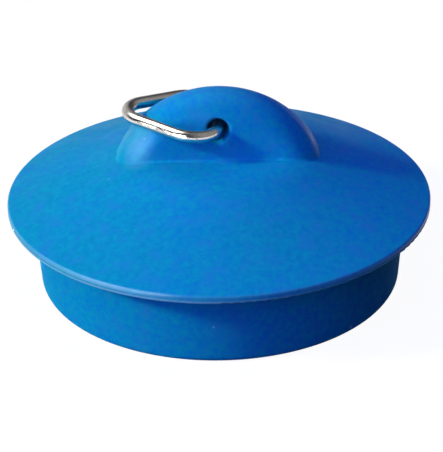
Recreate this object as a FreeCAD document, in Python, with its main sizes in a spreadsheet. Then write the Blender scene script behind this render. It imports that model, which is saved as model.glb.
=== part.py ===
import FreeCAD, Part
import os
import Sketcher

# Basin stopper: a moulded rubber plug and the wire ring that it is lifted out by.
# Millimetres and degrees. X runs along the lug, Z is up, and the skirt's foot stands on Z = 0.

doc = FreeCAD.newDocument("basin_stopper")
sheet = doc.addObject("Spreadsheet::Sheet", "Sizes")

sizes = {
    # flange and the flat-topped cone above it
    "flange_overhang": 3.0,
    "flange_edge": 1.0,
    "flange_edge_round": 0.3,
    "flange_root_round": 0.5,
    "crown_diameter": 20.8,
    "crown_rise": 6.0,
    "crown_round": 12.0,
    # tapered skirt and the hollow inside it
    "skirt_diameter": 46.0,
    "skirt_depth": 9.95,
    "skirt_taper": 4.0,
    "skirt_foot_wall": 4.0,
    "skirt_foot_round": 0.8,
    "crown_thickness": 6.0,
    "hollow_draft": 6.0,
    "hollow_round": 3.0,
    # half-moon lug and its cross hole
    "lug_thickness": 7.8,
    "lug_rise": 7.8,
    "lug_crest_radius": 13.2,
    "lug_crest_flat": 0.2,
    "lug_draft": 8.0,
    "lug_root_round": 0.4,
    "hole_rise": 3.75,
    "hole_play": 1.25,
    "hole_mouth_round": 0.4,
    # lift ring
    "wire_diameter": 1.5,
    "wire_end_round": 0.2,
    "ring_apex_angle": 65.0,
    "ring_apex_round": 3.1,
    "ring_corner_round": 3.3,
    "ring_side_play": 1.8,
    "ring_side_shift": 0.3,
    "ring_end_gap": 0.5,
    "ring_rest_gap": 0.06,
}
for row, (name, size) in enumerate(sizes.items(), start=1):
    sheet.set(f"A{row}", name)
    sheet.set(f"B{row}", str(size))
    sheet.setAlias(f"B{row}", name)
doc.recompute()

# Heights above the skirt's foot, and radii of the plug.
RIM_UNDER = "Sizes.skirt_depth"
RIM_TOP = f"({RIM_UNDER} + Sizes.flange_edge)"
CROWN_TOP = f"({RIM_TOP} + Sizes.crown_rise)"
HOLLOW_TOP = f"({CROWN_TOP} - Sizes.crown_thickness)"
SKIRT_RADIUS = "(Sizes.skirt_diameter / 2)"
FLANGE_RADIUS = f"({SKIRT_RADIUS} + Sizes.flange_overhang)"
FOOT_RADIUS = f"({SKIRT_RADIUS} - Sizes.skirt_depth * tan(Sizes.skirt_taper))"
HOLLOW_FOOT_RADIUS = f"({FOOT_RADIUS} - Sizes.skirt_foot_wall)"
HOLLOW_TOP_RADIUS = f"({HOLLOW_FOOT_RADIUS} - {HOLLOW_TOP} * tan(Sizes.hollow_draft))"

# The round between cone and crown starts at the same distance from their corner on both.
CROWN_RADIUS = "(Sizes.crown_diameter / 2)"
CONE_ANGLE = f"atan(Sizes.crown_rise / ({FLANGE_RADIUS} - {CROWN_RADIUS}))"
CROWN_TANGENT = f"(Sizes.crown_round * tan({CONE_ANGLE} / 2))"
CROWN_EDGE_RADIUS = f"({CROWN_RADIUS} - {CROWN_TANGENT})"
CONE_TOP_RADIUS = f"({CROWN_RADIUS} + {CROWN_TANGENT} * cos({CONE_ANGLE}))"
CONE_TOP = f"({CROWN_TOP} - {CROWN_TANGENT} * sin({CONE_ANGLE}))"

# The lug's crest is one arc from root to root, and its flanks lean in from the thickness at the crown.
# Its root is sunk into the moulding, half way down the cone.
CREST_TOP = f"({CROWN_TOP} + Sizes.lug_rise)"
CREST_CENTRE = f"({CREST_TOP} - Sizes.lug_crest_radius)"
LUG_ROOT = f"({RIM_TOP} + Sizes.crown_rise / 2)"
LUG_ROOT_REACH = f"sqrt(Sizes.lug_crest_radius ^ 2 - ({LUG_ROOT} - {CREST_CENTRE}) ^ 2)"
CREST_HALF = "(Sizes.lug_thickness / 2 - Sizes.lug_rise * tan(Sizes.lug_draft))"
CREST_ROUND = f"(({CREST_HALF} - Sizes.lug_crest_flat / 2) / tan(45 - Sizes.lug_draft / 2))"

# The wire runs loosely through the middle of the lug's cross hole.
HOLE_HEIGHT = f"({CROWN_TOP} + Sizes.hole_rise)"
HOLE_DIAMETER = "(Sizes.wire_diameter + Sizes.hole_play)"

# The ring is a triangle of wire with round corners, wide enough to swing over the lug.
HALF_ANGLE = "(Sizes.ring_apex_angle / 2)"
LUG_HALF_AT_HOLE = "(Sizes.lug_thickness / 2 - Sizes.hole_rise * tan(Sizes.lug_draft))"
RING_HALF_WIDTH = f"({LUG_HALF_AT_HOLE} + Sizes.ring_side_play + Sizes.wire_diameter / 2)"
PIN_HALF = f"({RING_HALF_WIDTH} - Sizes.ring_corner_round)"
CORNER_TANGENT = f"(Sizes.ring_corner_round / tan(45 - {HALF_ANGLE} / 2))"
HALF_BASE = f"({PIN_HALF} + {CORNER_TANGENT})"
SHARP_REACH = f"({HALF_BASE} / tan({HALF_ANGLE}))"
APEX_TANGENT = f"(Sizes.ring_apex_round / tan({HALF_ANGLE}))"
LEG_FOOT = f"(-{CORNER_TANGENT} * cos({HALF_ANGLE}))"
LEG_FOOT_HALF = f"({HALF_BASE} - {CORNER_TANGENT} * sin({HALF_ANGLE}))"
LEG_TIP = f"({APEX_TANGENT} * cos({HALF_ANGLE}) - {SHARP_REACH})"
LEG_TIP_HALF = f"({APEX_TANGENT} * sin({HALF_ANGLE}))"

# Two lengths nearer than this are the same when an edge is looked up.
NEAR = 0.001


def measure(expression):
    """Value of an expression of the sheet, as a plain number."""
    return float(sheet.evalExpression(expression))


def new_body(name):
    body = doc.addObject("PartDesign::Body", name)
    body.Label = name
    return body


def origin_of(body, role):
    """Plane or axis of the body's own origin."""
    return next(item for item in body.Origin.OriginFeatures if item.Role == role)


def new_sketch(body, name, plane):
    sketch = body.newObject("Sketcher::SketchObject", name)
    sketch.AttachmentSupport = [(origin_of(body, plane), "")]
    sketch.MapMode = "FlatFace"
    return sketch


def new_feature(body, kind, name, **settings):
    feature = body.newObject(f"PartDesign::{kind}", name)
    for setting, value in settings.items():
        setattr(feature, setting, value)
    return feature


def bind(sketch, expression, kind, *places):
    """Add a constraint whose value follows an expression of the sheet."""
    index = sketch.addConstraint(Sketcher.Constraint(kind, *places, measure(expression)))
    sketch.setExpression(f"Constraints[{index}]", expression)


def outward_arc(start, end, radius):
    """Arc under a half circle that bulges to the right of the way from start to end."""
    chord = end - start
    sagitta = radius - (radius ** 2 - chord.Length ** 2 / 4) ** 0.5
    outward = FreeCAD.Vector(chord.y, -chord.x, 0).normalize()
    return Part.Arc(start, (start + end) / 2 + outward * sagitta, end)


def end_at(sketch, segment, place):
    """Which end of a segment, 1 or 2, lies at a place."""
    return min((1, 2), key=lambda end: sketch.getPoint(segment, end).distanceToPoint(place))


def draw_outline(sketch, points, closed=True):
    """Run anticlockwise from point to point; a third entry is the radius of an arc that ends there."""
    places = [FreeCAD.Vector(measure(point[0]), measure(point[1]), 0) for point in points]
    meetings = [[] for _ in points]
    arrivals = range(len(points)) if closed else range(1, len(points))
    for segment, corner in enumerate(arrivals):
        start, end = places[corner - 1], places[corner]
        arc_radius = points[corner][2:]
        if arc_radius:
            sketch.addGeometry(outward_arc(start, end, measure(*arc_radius)))
            bind(sketch, *arc_radius, "Radius", segment)
        else:
            sketch.addGeometry(Part.LineSegment(start, end))
        for near in (corner - 1, corner):
            meetings[near].append((segment, end_at(sketch, segment, places[near])))
    for point, meeting in zip(points, meetings):
        if len(meeting) > 1:
            sketch.addConstraint(Sketcher.Constraint("Coincident", *meeting[0], *meeting[1]))
        for expression, kind, axis in zip(point, ("DistanceX", "DistanceY"), (-2, -1)):
            if expression == "0":
                sketch.addConstraint(Sketcher.Constraint("PointOnObject", *meeting[0], axis))
            else:
                bind(sketch, expression, kind, -1, 1, *meeting[0])


def draw_circle(sketch, diameter, height):
    """Circle on the sketch's upright axis, at a height above its origin."""
    centre = FreeCAD.Vector(0, measure(height), 0)
    sketch.addGeometry(Part.Circle(centre, FreeCAD.Vector(0, 0, 1), measure(diameter) / 2))
    bind(sketch, diameter, "Diameter", 0)
    sketch.addConstraint(Sketcher.Constraint("PointOnObject", 0, 3, -2))
    if height == "0":
        sketch.addConstraint(Sketcher.Constraint("PointOnObject", 0, 3, -1))
    else:
        bind(sketch, height, "DistanceY", -1, 1, 0, 3)


def round_edges(body, name, chosen, radius):
    """Fillet those edges of the body's last feature that the test picks."""
    base = body.Tip
    edges = enumerate(base.Shape.Edges, start=1)
    picked = [f"Edge{number}" for number, edge in edges if chosen(base.Shape, edge)]
    fillet = new_feature(body, "Fillet", name, Base=(base, picked))
    fillet.setExpression("Radius", radius)
    doc.recompute()


def ring_edge(radius, height):
    """Test for a round edge about the plug's axis."""
    def matches(shape, edge):
        curve = edge.Curve
        if not isinstance(curve, Part.Circle):
            return False
        return abs(curve.Radius - measure(radius)) < NEAR and abs(curve.Center.z - measure(height)) < NEAR
    return matches


def crest_edge(shape, edge):
    """Test for the two long edges of the lug's crest."""
    middle = edge.valueAt((edge.FirstParameter + edge.LastParameter) / 2)
    return abs(middle.x) < NEAR and abs(middle.z - measure(CREST_TOP)) < NEAR


def turned_about_z(face):
    """True for the crown, its round and the cone, which share the plug's upright axis."""
    axis = getattr(face.Surface, "Axis", FreeCAD.Vector(1, 0, 0))
    return abs(axis.z) > 1 - NEAR


def root_edge(shape, edge):
    """Test for the line where the lug rises out of the plug's top."""
    sides = [turned_about_z(face) for face in shape.ancestorsOfType(edge, Part.Face)]
    return sorted(sides) == [False, True] and edge.BoundBox.ZMin > measure(RIM_TOP) + NEAR


def mouth_edge(shape, edge):
    """Test for the two mouths of the cross hole."""
    sides = [face.Surface for face in shape.ancestorsOfType(edge, Part.Face)]
    bores = [side for side in sides if isinstance(side, Part.Cylinder)
             and abs(side.Radius - measure(HOLE_DIAMETER) / 2) < NEAR]
    return len(bores) == 1 and len(sides) == 2


# Rubber plug, lug first: a half-moon plate whose flanks lean in towards a fully rounded crest.
plug = new_body("plug_body")

half_moon = new_sketch(plug, "HalfMoon", "XZ_Plane")
draw_outline(half_moon, [
    (f"(-{LUG_ROOT_REACH})", LUG_ROOT, "Sizes.lug_crest_radius"),
    (LUG_ROOT_REACH, LUG_ROOT),
])
lug = new_feature(plug, "Pad", "Lug", Profile=half_moon, SideType="Symmetric")
lug.setExpression("Length", "Sizes.lug_thickness")
crown_plane = plug.newObject("PartDesign::Plane", "CrownPlane")
crown_plane.AttachmentSupport = [(origin_of(plug, "XY_Plane"), "")]
crown_plane.MapMode = "FlatFace"
crown_plane.setExpression("AttachmentOffset.Base.z", CROWN_TOP)
doc.recompute()

flanks = [f"Face{number}" for number, face in enumerate(lug.Shape.Faces, start=1)
          if abs(face.normalAt(0, 0).y) > 1 - NEAR]
lean = new_feature(plug, "Draft", "LugFlanks", Base=(lug, flanks), NeutralPlane=(crown_plane, [""]),
                   PullDirection=(origin_of(plug, "Z_Axis"), [""]))
doc.recompute()
lean.setExpression("Angle", "Sizes.lug_draft")
doc.recompute()
round_edges(plug, "LugCrest", crest_edge, CREST_ROUND)

# The moulding under the lug is turned about Z: skirt, flange, cone and flat crown.
moulding = new_sketch(plug, "Moulding", "XZ_Plane")
draw_outline(moulding, [
    ("0", "0"),
    (FOOT_RADIUS, "0"),
    (SKIRT_RADIUS, RIM_UNDER),
    (FLANGE_RADIUS, RIM_UNDER),
    (FLANGE_RADIUS, RIM_TOP),
    (CONE_TOP_RADIUS, CONE_TOP),
    (CROWN_EDGE_RADIUS, CROWN_TOP, "Sizes.crown_round"),
    ("0", CROWN_TOP),
])
new_feature(plug, "Revolution", "Turned", Profile=moulding, ReferenceAxis=(moulding, ["V_Axis"]), Angle=360)
doc.recompute()
round_edges(plug, "LugRoot", root_edge, "Sizes.lug_root_round")

hollow = new_sketch(plug, "Hollow", "XZ_Plane")
draw_outline(hollow, [
    ("0", "0"),
    (HOLLOW_FOOT_RADIUS, "0"),
    (HOLLOW_TOP_RADIUS, HOLLOW_TOP),
    ("0", HOLLOW_TOP),
])
new_feature(plug, "Groove", "Underside", Profile=hollow, ReferenceAxis=(hollow, ["V_Axis"]), Angle=360)
doc.recompute()

cross_hole = new_sketch(plug, "CrossHole", "XZ_Plane")
draw_circle(cross_hole, HOLE_DIAMETER, HOLE_HEIGHT)
new_feature(plug, "Pocket", "RingHole", Profile=cross_hole, Type="ThroughAll", SideType="Symmetric")
doc.recompute()

round_edges(plug, "HoleMouths", mouth_edge, "Sizes.hole_mouth_round")
round_edges(plug, "HollowCorner", ring_edge(HOLLOW_TOP_RADIUS, HOLLOW_TOP), "Sizes.hollow_round")
round_edges(plug, "FlangeRoot", ring_edge(SKIRT_RADIUS, RIM_UNDER), "Sizes.flange_root_round")
round_edges(plug, "FlangeUnderEdge", ring_edge(FLANGE_RADIUS, RIM_UNDER), "Sizes.flange_edge_round")
round_edges(plug, "FlangeTopEdge", ring_edge(FLANGE_RADIUS, RIM_TOP), "Sizes.flange_edge_round")
round_edges(plug, "FootOutside", ring_edge(FOOT_RADIUS, "0"), "Sizes.skirt_foot_round")
round_edges(plug, "FootInside", ring_edge(HOLLOW_FOOT_RADIUS, "0"), "Sizes.skirt_foot_round")

# Lift ring: one wire bent round a triangle, its two ends facing each other inside the lug.
ring = new_body("lift_ring")

bends = new_sketch(ring, "Bends", "XY_Plane")
draw_outline(bends, [
    ("0", "(Sizes.ring_end_gap / 2)"),
    ("0", PIN_HALF),
    (LEG_FOOT, LEG_FOOT_HALF, "Sizes.ring_corner_round"),
    (LEG_TIP, LEG_TIP_HALF),
    (LEG_TIP, f"(-{LEG_TIP_HALF})", "Sizes.ring_apex_round"),
    (LEG_FOOT, f"(-{LEG_FOOT_HALF})"),
    ("0", f"(-{PIN_HALF})", "Sizes.ring_corner_round"),
    ("0", "(-Sizes.ring_end_gap / 2)"),
], closed=False)
wire_section = new_sketch(ring, "WireSection", "XZ_Plane")
wire_section.setExpression("AttachmentOffset.Base.z", "-Sizes.ring_end_gap / 2")
draw_circle(wire_section, "Sizes.wire_diameter", "0")
doc.recompute()
new_feature(ring, "AdditivePipe", "Wire", Profile=wire_section, Spine=(bends, [""]))
doc.recompute()


def cut_end(shape, edge):
    """Test for the rim of a cut end of the wire."""
    end = measure("Sizes.ring_end_gap / 2")
    return len(edge.Vertexes) == 1 and abs(abs(edge.CenterOfMass.y) - end) < NEAR


round_edges(ring, "WireEnds", cut_end, "Sizes.wire_end_round")


def ring_place(tilt):
    """The ring's place with its wire along the hole, lifted by a tilt from lying level."""
    pin = FreeCAD.Vector(0, measure("Sizes.ring_side_shift"), measure(HOLE_HEIGHT))
    return FreeCAD.Placement(pin, FreeCAD.Rotation(FreeCAD.Vector(0, 1, 0), tilt))


def resting_tilt():
    """Tilt at which the ring, let down from upright, lies on the lug's shoulder, by halving."""
    foot = measure(LEG_FOOT) + NEAR
    legs = Part.Compound([edge for edge in bends.Shape.Edges if edge.BoundBox.XMax < foot])
    nearest = measure("Sizes.wire_diameter / 2 + Sizes.ring_rest_gap")
    low, upright = -45.0, 90.0
    for _ in range(18):
        tilt = (low + upright) / 2
        legs.Placement = ring_place(tilt)
        if legs.distToShape(plug.Shape)[0] > nearest:
            upright = tilt
        else:
            low = tilt
    return upright


rest = resting_tilt()
ring.Placement = ring_place(rest)
doc.recompute()

failed = [item.Name for item in doc.Objects if {"Invalid", "Error"} & set(item.State)]
if failed:
    raise RuntimeError(f"features that failed: {failed}")
os.makedirs("parts", exist_ok=True)
for body in (plug, ring):
    if body.Shape.isNull() or not body.Shape.isValid() or len(body.Shape.Solids) != 1:
        raise RuntimeError(f"{body.Label} is not one sound solid")
    body.Shape.exportStep(f"parts/{body.Label}.step")
    print(body.Label, round(body.Shape.Volume, 2), body.Shape.BoundBox)
print("hole height", round(measure(HOLE_HEIGHT), 4), "resting tilt", round(rest, 3))
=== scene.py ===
import math

import bpy
from mathutils import Matrix, Vector

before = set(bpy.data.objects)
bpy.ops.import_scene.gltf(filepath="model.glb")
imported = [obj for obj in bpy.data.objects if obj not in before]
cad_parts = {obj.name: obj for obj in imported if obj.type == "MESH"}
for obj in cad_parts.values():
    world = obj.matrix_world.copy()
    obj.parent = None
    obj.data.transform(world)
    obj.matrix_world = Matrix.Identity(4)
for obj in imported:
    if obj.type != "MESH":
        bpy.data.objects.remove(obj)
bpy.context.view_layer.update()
bpy.ops.object.select_all(action="DESELECT")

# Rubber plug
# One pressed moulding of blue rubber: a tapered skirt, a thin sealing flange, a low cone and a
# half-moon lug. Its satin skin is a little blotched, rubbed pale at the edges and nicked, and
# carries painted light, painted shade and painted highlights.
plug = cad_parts["plug_body"]

DEEP_BLUE = (0.001, 0.215, 0.570, 1)
CLEAR_BLUE = (0.001, 0.260, 0.440, 1)
SEA_BLUE = (0.002, 0.355, 0.480, 1)
HAZE_BLUE = (0.014, 0.240, 0.540, 1)
# Pale colour of rubbed rubber, also used for the painted highlights.
BLOOM_AND_HIGHLIGHT_BLUE = (0.24, 0.60, 0.76, 1)
NICK_BLUE = (0.30, 0.55, 0.80, 1)
RUBBER_SHINE = 0.08
RIM_RADIUS = 0.0260
RIM_TOP = 0.01095
FLANGE_UNDER = 0.00995
SKIRT_BLEND = 0.0006
LUG_FOOT = 0.0168
LUG_ROOT = 0.0014
LUG_LEFT_END = -0.0105
LUG_LEFT_FACE = -0.0075
CREST_TOP = 0.02475
HOLE_CENTRE = (0, 0, 0.0207)
HOLE_REACH = 0.0016
HOLE_BLEND = 0.0002

rubber = bpy.data.materials.new("moulded_rubber")
rubber.use_nodes = True
rubber_shader = rubber.node_tree.nodes["Principled BSDF"]
rubber_shader.inputs["Specular IOR Level"].default_value = RUBBER_SHINE


def add_node(material, kind, sockets=(), **settings):
    """Add a node to a finish; sockets pairs an input with a value or the output that feeds it."""
    tree = material.node_tree
    node = tree.nodes.new(f"ShaderNode{kind}")
    for setting, value in settings.items():
        setattr(node, setting, value)
    for socket, source in sockets:
        if isinstance(source, bpy.types.NodeSocket):
            tree.links.new(source, node.inputs[socket])
        else:
            node.inputs[socket].default_value = source
    return node


def blotches(material, place, scale, detail=3.0, roughness=0.55):
    """Soft noise over the piece, with features of about one over its scale in metres."""
    return add_node(material, "TexNoise", (("Vector", place), ("Scale", scale), ("Detail", detail),
                                           ("Roughness", roughness))).outputs["Fac"]


def fade(material, value, start, end, low=0.0, high=1.0):
    """A value's ramp from low at start to high at end, held flat outside."""
    return add_node(material, "MapRange", (("Value", value), ("From Min", start), ("From Max", end),
                                           ("To Min", low), ("To Max", high))).outputs["Result"]


def reckon(material, operation, first, second):
    """Sum, product or other reckoning of two values."""
    return add_node(material, "Math", ((0, first), (1, second)), operation=operation).outputs[0]


def distance(material, place, centre, shape):
    """Distance from a centre, with each axis counted at its share in shape."""
    offset = tuple(-along * share for along, share in zip(centre, shape))
    way = add_node(material, "Mapping", (("Vector", place), ("Location", offset), ("Scale", shape)))
    return add_node(material, "VectorMath", ((0, way.outputs["Vector"]),),
                    operation="LENGTH").outputs["Value"]


def blend_colours(material, share, below, above):
    """Colour between two colours, by the Mix node's numbered colour sockets."""
    FACTOR, BELOW, ABOVE, RESULT = 0, 6, 7, 2
    return add_node(material, "Mix", ((FACTOR, share), (BELOW, below), (ABOVE, above)),
                    data_type="RGBA").outputs[RESULT]


def relief(material, height, strength, depth, under=None, invert=False):
    """Surface direction of a relief, on top of the relief under it."""
    sockets = [("Height", height), ("Strength", strength), ("Distance", depth)]
    if under is not None:
        sockets.append(("Normal", under))
    return add_node(material, "Bump", sockets, invert=invert).outputs["Normal"]


rubber_place = add_node(rubber, "TexCoord").outputs["Object"]
rubber_axes = add_node(rubber, "SeparateXYZ", (("Vector", rubber_place),)).outputs
across, upward = rubber_axes["X"], rubber_axes["Z"]
rubber_radius = distance(rubber, rubber_place, centre=(0, 0, 0), shape=(1, 1, 0))

# Its pigment is mixed unevenly: broad patches of clear blue and deep blue, a finer mottle over
# them, and hazy spots of chalk at the skin. Painted light and shade shift the patches: the lit left
# side is painted clearer, and the skirt under the flange and the lug's face, all but its lit left
# end, are painted deep blue as shade.
CLOUD_SCALE = 70
CLOUD_EDGES = (0.3, 0.7)
PAINTED_LIGHT_SHIFT = 0.2
PAINTED_SHADE_SHIFT = -0.35
MOTTLE_SCALE = 1300
MOTTLE_EDGES = (0.36, 0.64)
MOTTLE_STRENGTH = 0.85
HAZE_SCALE = 420
HAZE_EDGES = (0.50, 0.72)
# Painted light: the lit left side is painted clearer.
painted_lit_side = fade(rubber, across, RIM_RADIUS, -RIM_RADIUS, low=-PAINTED_LIGHT_SHIFT, high=PAINTED_LIGHT_SHIFT)
# Painted shade: the skirt under the flange and the lug's face, all but its lit left end, go deep
# blue.
painted_skirt_shade = fade(rubber, upward, FLANGE_UNDER, FLANGE_UNDER - SKIRT_BLEND, high=PAINTED_SHADE_SHIFT)
painted_lug_shade = reckon(rubber, "MULTIPLY",
                  fade(rubber, upward, LUG_FOOT, LUG_FOOT + LUG_ROOT, high=PAINTED_SHADE_SHIFT),
                  fade(rubber, across, LUG_LEFT_END, LUG_LEFT_FACE))
painted_light_and_shade = reckon(rubber, "ADD", painted_lit_side, reckon(rubber, "ADD", painted_skirt_shade, painted_lug_shade))
clouds_and_painted_light = reckon(rubber, "ADD", blotches(rubber, rubber_place, CLOUD_SCALE), painted_light_and_shade)
cloud_and_light_share = fade(rubber, clouds_and_painted_light, *CLOUD_EDGES)
cloud_and_light_colour = blend_colours(rubber, cloud_and_light_share, DEEP_BLUE, CLEAR_BLUE)
mottle_noise = blotches(rubber, rubber_place, MOTTLE_SCALE, detail=4.0, roughness=0.75)
mottle_share = fade(rubber, mottle_noise, *MOTTLE_EDGES, high=MOTTLE_STRENGTH)
mottle_colour = blend_colours(rubber, mottle_share, cloud_and_light_colour, SEA_BLUE)
haze_noise = blotches(rubber, rubber_place, HAZE_SCALE, detail=4.0, roughness=0.7)
haze_share = fade(rubber, haze_noise, *HAZE_EDGES)
hazy_colour = blend_colours(rubber, haze_share, mottle_colour, HAZE_BLUE)

# The lug's crest is rubbed pale. The rim's upper edge carries a painted highlight, brightest at the
# left front, and the lug's end under the ring carries a pale painted highlight. The rim's lower lip
# is worn pale and painted paler from the left to the middle, as a painted highlight on its lit
# side.
RUB_AND_HIGHLIGHT_SCALE = 420
RUB_AND_HIGHLIGHT_EDGES = (0.30, 0.70)
RUB_AND_HIGHLIGHT_LEAST = 0.7
RIM_RUB_AND_HIGHLIGHT = 0.0002
EDGE_HIGHLIGHT_WIDTH = 0.00055
EDGE_HIGHLIGHT_FADE_RIGHT = (-0.004, -0.011)
EDGE_HIGHLIGHT_FADE_LEFT = (-0.022, -0.014)
EDGE_HIGHLIGHT_RIGHT = 0.12
EDGE_HIGHLIGHT_LEFT = 0.25
EDGE_HIGHLIGHT_MOST = 0.85
LIP_RUB_AND_HIGHLIGHT = 0.0005
LIP_WEAR_AND_LIGHT_RIGHT = (0.014, 0.004)
LIP_PALE_RIGHT = 0.15
LIP_PALE = 0.9
CREST_RUB = 0.0016
CREST_PALE = 0.05
PAINTED_HIGHLIGHT_SPOT = (-0.0098, -0.0034, 0.0195)
HIGHLIGHT_SPOT_SHAPE = (1, 1, 0.6)
HIGHLIGHT_SPOT_REACH = 0.0026
HIGHLIGHT_SPOT_PALE = 0.45
rim_face = fade(rubber, rubber_radius, RIM_RADIUS - RIM_RUB_AND_HIGHLIGHT, RIM_RADIUS - RIM_RUB_AND_HIGHLIGHT / 2)
# Painted highlight: the rim's upper edge band, brightest at the left front.
rim_edge = fade(rubber, upward, RIM_TOP - EDGE_HIGHLIGHT_WIDTH, RIM_TOP - EDGE_HIGHLIGHT_WIDTH / 2)
painted_edge_highlight = reckon(rubber, "MINIMUM",
                   fade(rubber, across, *EDGE_HIGHLIGHT_FADE_RIGHT, low=EDGE_HIGHLIGHT_RIGHT, high=EDGE_HIGHLIGHT_MOST),
                   fade(rubber, across, *EDGE_HIGHLIGHT_FADE_LEFT, low=EDGE_HIGHLIGHT_LEFT, high=EDGE_HIGHLIGHT_MOST))
edge_highlight = reckon(rubber, "MULTIPLY", rim_edge, painted_edge_highlight)
# The lower lip is worn pale, and painted paler on the lit left as a painted highlight.
lip_edge = fade(rubber, upward, FLANGE_UNDER + LIP_RUB_AND_HIGHLIGHT, FLANGE_UNDER + LIP_RUB_AND_HIGHLIGHT / 2, high=LIP_PALE)
lip_wear_and_light = fade(rubber, across, *LIP_WEAR_AND_LIGHT_RIGHT, low=LIP_PALE_RIGHT)
lip_rub_and_highlight = reckon(rubber, "MULTIPLY", lip_edge, lip_wear_and_light)
rim_rub_and_highlight = reckon(rubber, "MULTIPLY", rim_face, reckon(rubber, "MAXIMUM", lip_rub_and_highlight, edge_highlight))
crest_rub = fade(rubber, upward, CREST_TOP - CREST_RUB, CREST_TOP, high=CREST_PALE)
# Painted highlight: a pale patch on the lug's left end, under the ring.
highlight_spot_distance = distance(rubber, rubber_place, PAINTED_HIGHLIGHT_SPOT, HIGHLIGHT_SPOT_SHAPE)
painted_lug_highlight = fade(rubber, highlight_spot_distance, HIGHLIGHT_SPOT_REACH, 0.0, high=HIGHLIGHT_SPOT_PALE)
lug_rub_and_highlight = reckon(rubber, "MAXIMUM", crest_rub, painted_lug_highlight)
rub_and_highlight_noise = blotches(rubber, rubber_place, RUB_AND_HIGHLIGHT_SCALE, detail=5.0, roughness=0.7)
rub_and_highlight_share = reckon(rubber, "MULTIPLY", reckon(rubber, "MAXIMUM", rim_rub_and_highlight, lug_rub_and_highlight),
                   fade(rubber, rub_and_highlight_noise, *RUB_AND_HIGHLIGHT_EDGES, low=RUB_AND_HIGHLIGHT_LEAST))
rubbed_and_highlight_colour = blend_colours(rubber, rub_and_highlight_share, hazy_colour, BLOOM_AND_HIGHLIGHT_BLUE)

# Its few nicks lie in groups and show paler rubber.
NICK_SCALE = 330
NICK_EDGES = (0.10, 0.05)
NICK_GROUP_SCALE = 150
NICK_GROUP_EDGES = (0.56, 0.60)
NICK_PALE = 0.5
nick_cells = add_node(rubber, "TexVoronoi", (("Vector", rubber_place), ("Scale", NICK_SCALE)))
nick_spots = fade(rubber, nick_cells.outputs["Distance"], *NICK_EDGES)
nick_noise = blotches(rubber, rubber_place, NICK_GROUP_SCALE, detail=2.0)
nick_share = reckon(rubber, "MULTIPLY", nick_spots, fade(rubber, nick_noise, *NICK_GROUP_EDGES))
nick_paleness = reckon(rubber, "MULTIPLY", nick_share, NICK_PALE)
nicked_colour = blend_colours(rubber, nick_paleness, rubbed_and_highlight_colour, NICK_BLUE)
rubber.node_tree.links.new(nicked_colour, rubber_shader.inputs["Base Color"])

# Handling has polished the lug and the rim. The cone is satin, and the skirt and the hole are matt.
GLOSS_SCALE = 260
GLOSS_EDGES = (0.3, 0.7)
GLOSS_SPREAD = 0.08
CONE_SATIN = 0.58
SKIRT_MATT = 0.80
LUG_POLISH = 0.12
RIM_POLISH = 0.38
HOLE_MATT = 0.5
gloss_noise = blotches(rubber, rubber_place, GLOSS_SCALE, detail=4.0, roughness=0.65)
unevenness = fade(rubber, gloss_noise, *GLOSS_EDGES, low=-GLOSS_SPREAD, high=GLOSS_SPREAD)
skirt_matt = fade(rubber, upward, FLANGE_UNDER, FLANGE_UNDER - SKIRT_BLEND,
                  low=CONE_SATIN, high=SKIRT_MATT)
lug_polish = fade(rubber, upward, LUG_FOOT, LUG_FOOT + LUG_ROOT, high=LUG_POLISH)
rim_polish = reckon(rubber, "MULTIPLY", reckon(rubber, "MULTIPLY", rim_edge, rim_face), RIM_POLISH)
polish = reckon(rubber, "MAXIMUM", lug_polish, rim_polish)
hole_distance = distance(rubber, rubber_place, HOLE_CENTRE, shape=(1, 0, 1))
hole_matt = fade(rubber, hole_distance, HOLE_REACH, HOLE_REACH - HOLE_BLEND, high=HOLE_MATT)
skin = reckon(rubber, "ADD", reckon(rubber, "SUBTRACT", skirt_matt, polish), hole_matt)
rubber.node_tree.links.new(reckon(rubber, "ADD", unevenness, skin),
                           rubber_shader.inputs["Roughness"])

# The mould leaves a soft orange peel and a fine grain, and the nicks are shallow pits.
PEEL_SCALE = 650
PEEL_DEPTH = 0.00004
GRAIN_SCALE = 3200
GRAIN_DEPTH = 0.00002
NICK_DEPTH = 0.00006
peel_noise = blotches(rubber, rubber_place, PEEL_SCALE, detail=2.0)
grain_noise = blotches(rubber, rubber_place, GRAIN_SCALE)
peel = relief(rubber, peel_noise, strength=0.6, depth=PEEL_DEPTH)
grain = relief(rubber, grain_noise, strength=0.5, depth=GRAIN_DEPTH, under=peel)
pits = relief(rubber, nick_share, strength=0.6, depth=NICK_DEPTH, under=grain, invert=True)
rubber.node_tree.links.new(pits, rubber_shader.inputs["Normal"])
plug.data.materials.clear()
plug.data.materials.append(rubber)

# Lift ring
# One length of bright drawn steel wire, bent to a triangle with round corners.
# Its two cut ends meet inside the lug's hole, so it swings there and can't be lost.
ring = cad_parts["lift_ring"]

BRIGHT_STEEL = (0.80, 0.77, 0.71, 1)
DULL_STEEL = (0.58, 0.55, 0.50, 1)
TARNISH = (0.36, 0.30, 0.22, 1)
DULL_SCALE = 380
DULL_EDGES = (0.42, 0.68)
TARNISH_SCALE = 1500
TARNISH_EDGES = (0.60, 0.74)
TARNISH_STRENGTH = 0.7
TARNISH_MATT = 0.2
WIRE_SCALE = 900
WIRE_EDGES = (0.3, 0.7)
WIRE_SMOOTH = 0.14
WIRE_WORN = 0.26
DRAWN_SCALE = 2600
DRAWN_DEPTH = 0.00001

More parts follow.
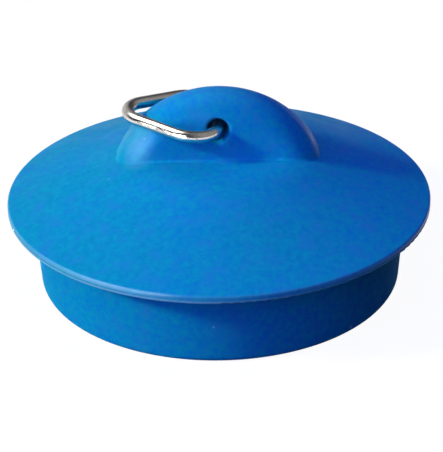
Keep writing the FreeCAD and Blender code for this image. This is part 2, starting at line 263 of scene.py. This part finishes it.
steel = bpy.data.materials.new("drawn_steel_wire")
steel.use_nodes = True
steel_shader = steel.node_tree.nodes["Principled BSDF"]
steel_shader.inputs["Metallic"].default_value = 1.0
steel_place = add_node(steel, "TexCoord").outputs["Object"]
dull_noise = blotches(steel, steel_place, DULL_SCALE, detail=4.0, roughness=0.6)
dull_share = fade(steel, dull_noise, *DULL_EDGES)
dulled_colour = blend_colours(steel, dull_share, BRIGHT_STEEL, DULL_STEEL)
tarnish_noise = blotches(steel, steel_place, TARNISH_SCALE, detail=5.0, roughness=0.7)
tarnish_share = fade(steel, tarnish_noise, *TARNISH_EDGES, high=TARNISH_STRENGTH)
tarnished_colour = blend_colours(steel, tarnish_share, dulled_colour, TARNISH)
steel.node_tree.links.new(tarnished_colour, steel_shader.inputs["Base Color"])
wire_noise = blotches(steel, steel_place, WIRE_SCALE, detail=4.0, roughness=0.6)
wire_gloss = fade(steel, wire_noise, *WIRE_EDGES, low=WIRE_SMOOTH, high=WIRE_WORN)
tarnish_matt = reckon(steel, "MULTIPLY", tarnish_share, TARNISH_MATT)
steel.node_tree.links.new(reckon(steel, "ADD", wire_gloss, tarnish_matt),
                          steel_shader.inputs["Roughness"])
drawn_noise = blotches(steel, steel_place, DRAWN_SCALE)
drawn_skin = relief(steel, drawn_noise, strength=0.4, depth=DRAWN_DEPTH)
steel.node_tree.links.new(drawn_skin, steel_shader.inputs["Normal"])
ring.data.materials.clear()
ring.data.materials.append(steel)

# Floor
# A plain table top that runs out of view on every side. Its glow shows white to the eye and in the
# wire, and its own grey keeps the plug's shadow.
FLOOR_SIZE = 20.0
FLOOR_GREY = (0.09, 0.09, 0.09, 1)
FLOOR_GLOW = 0.95
bpy.ops.mesh.primitive_plane_add(size=FLOOR_SIZE)
floor = bpy.context.active_object
floor.name = "floor"
white_top = bpy.data.materials.new("white_table_top")
white_top.use_nodes = True
white_top.node_tree.nodes.remove(white_top.node_tree.nodes["Principled BSDF"])
matt_grey = add_node(white_top, "BsdfDiffuse", (("Color", FLOOR_GREY),))
top_rays = add_node(white_top, "LightPath").outputs
mirrored_top = reckon(white_top, "MAXIMUM",
                      top_rays["Is Glossy Ray"], top_rays["Is Transmission Ray"])
seen_top = reckon(white_top, "MAXIMUM", top_rays["Is Camera Ray"], mirrored_top)
top_glow = reckon(white_top, "MULTIPLY", seen_top, FLOOR_GLOW)
white_glow = add_node(white_top, "Emission", (("Strength", top_glow),))
white_sum = add_node(white_top, "AddShader", ((0, matt_grey.outputs["BSDF"]),
                                              (1, white_glow.outputs["Emission"])))
white_top.node_tree.links.new(white_sum.outputs["Shader"],
                              white_top.node_tree.nodes["Material Output"].inputs["Surface"])
floor.data.materials.append(white_top)

# Light
# A warm key lamp low on the left, and a soft cool fill from the front left and the back right.
# The wire and the polished rubber mirror a dim room with soft boxes, which the eye sees as white.
KEY_AZIMUTH = -77
KEY_ELEVATION = 29
KEY_STRENGTH = 2.8
KEY_SPREAD = math.radians(9)
KEY_COLOUR = (1.0, 0.97, 0.64)


def way_to(azimuth, elevation):
    """Direction to a place at an azimuth, turning from the front to the right, and an elevation."""
    azimuth, elevation = math.radians(azimuth), math.radians(elevation)
    return Vector((math.sin(azimuth) * math.cos(elevation),
                   -math.cos(azimuth) * math.cos(elevation),
                   math.sin(elevation)))


bpy.ops.object.light_add(type="SUN")
key = bpy.context.active_object
key.rotation_euler = way_to(KEY_AZIMUTH, KEY_ELEVATION).to_track_quat("Z", "Y").to_euler()
key.data.energy = KEY_STRENGTH
key.data.angle = KEY_SPREAD
key.data.color = KEY_COLOUR
key.visible_glossy = False

# Each soft box has an azimuth, an elevation and a reach in degrees, and a strength.
FILLS = [(-15, 56, 41, 1.35), (-48, 14, 41, 3.0), (150, 60, 41, 1.6)]
MIRRORED = [(-102, 62, 25, 10.0), (-34, 12, 17, 110.0), (80, 30, 60, 0.25), (-140, 10, 50, 0.7)]
COOL_FILL = (0.24, 0.28, 1.0, 1)
WHITE = (1, 1, 1, 1)
ROOM_GLOOM = 0.06
world = bpy.data.worlds.new("room")
bpy.context.scene.world = world
world.use_nodes = True
world.node_tree.nodes.remove(world.node_tree.nodes["Background"])
room_way = add_node(world, "TexCoord").outputs["Generated"]


def soft_boxes(boxes, colour, gloom):
    """Light of a room with soft boxes in it, over the gloom that it has everywhere."""
    strength = gloom
    for azimuth, elevation, reach, box_strength in boxes:
        nearness = add_node(world, "VectorMath", ((0, room_way), (1, way_to(azimuth, elevation))),
                            operation="DOT_PRODUCT").outputs["Value"]
        box_light = fade(world, nearness, math.cos(math.radians(reach)), 1.0, high=box_strength)
        strength = reckon(world, "ADD", strength, box_light)
    return add_node(world, "Background",
                    (("Color", colour), ("Strength", strength))).outputs["Background"]


room_rays = add_node(world, "LightPath").outputs
mirrored_room = reckon(world, "MAXIMUM",
                       room_rays["Is Glossy Ray"], room_rays["Is Transmission Ray"])
fill_light = soft_boxes(FILLS, COOL_FILL, gloom=0.0)
mirrored_light = soft_boxes(MIRRORED, WHITE, ROOM_GLOOM)
white_room = add_node(world, "Background", (("Color", WHITE),))
lit_room = add_node(world, "MixShader", ((0, mirrored_room), (1, fill_light), (2, mirrored_light)))
room_mix = add_node(world, "MixShader", ((0, room_rays["Is Camera Ray"]),
                                         (1, lit_room.outputs["Shader"]),
                                         (2, white_room.outputs["Background"])))
world.node_tree.links.new(room_mix.outputs["Shader"],
                          world.node_tree.nodes["World Output"].inputs["Surface"])

# Camera
# It stands in front of the lug's long side and looks down on the plug, turned a little clockwise.
# Its focal length is told in pixels of the picture's long side.
CAMERA_PLACE = (0.0, -0.2049, 0.11535)
CAMERA_PITCH = math.radians(28.08)
CAMERA_YAW = math.radians(-0.07)
CAMERA_ROLL = math.radians(-1.04)
CAMERA_NEAR = 0.01
FOCAL_PIXELS = 1863
LONG_SIDE_PIXELS = 452
bpy.ops.object.camera_add()
camera = bpy.context.active_object
camera.matrix_world = (Matrix.Translation(CAMERA_PLACE)
                       @ Matrix.Rotation(CAMERA_YAW, 4, "Z")
                       @ Matrix.Rotation(math.radians(90) - CAMERA_PITCH, 4, "X")
                       @ Matrix.Rotation(CAMERA_ROLL, 4, "Z"))
camera.data.lens = camera.data.sensor_width * FOCAL_PIXELS / LONG_SIDE_PIXELS
camera.data.clip_start = CAMERA_NEAR
bpy.context.scene.camera = camera
bpy.context.scene.view_settings.view_transform = "Standard"
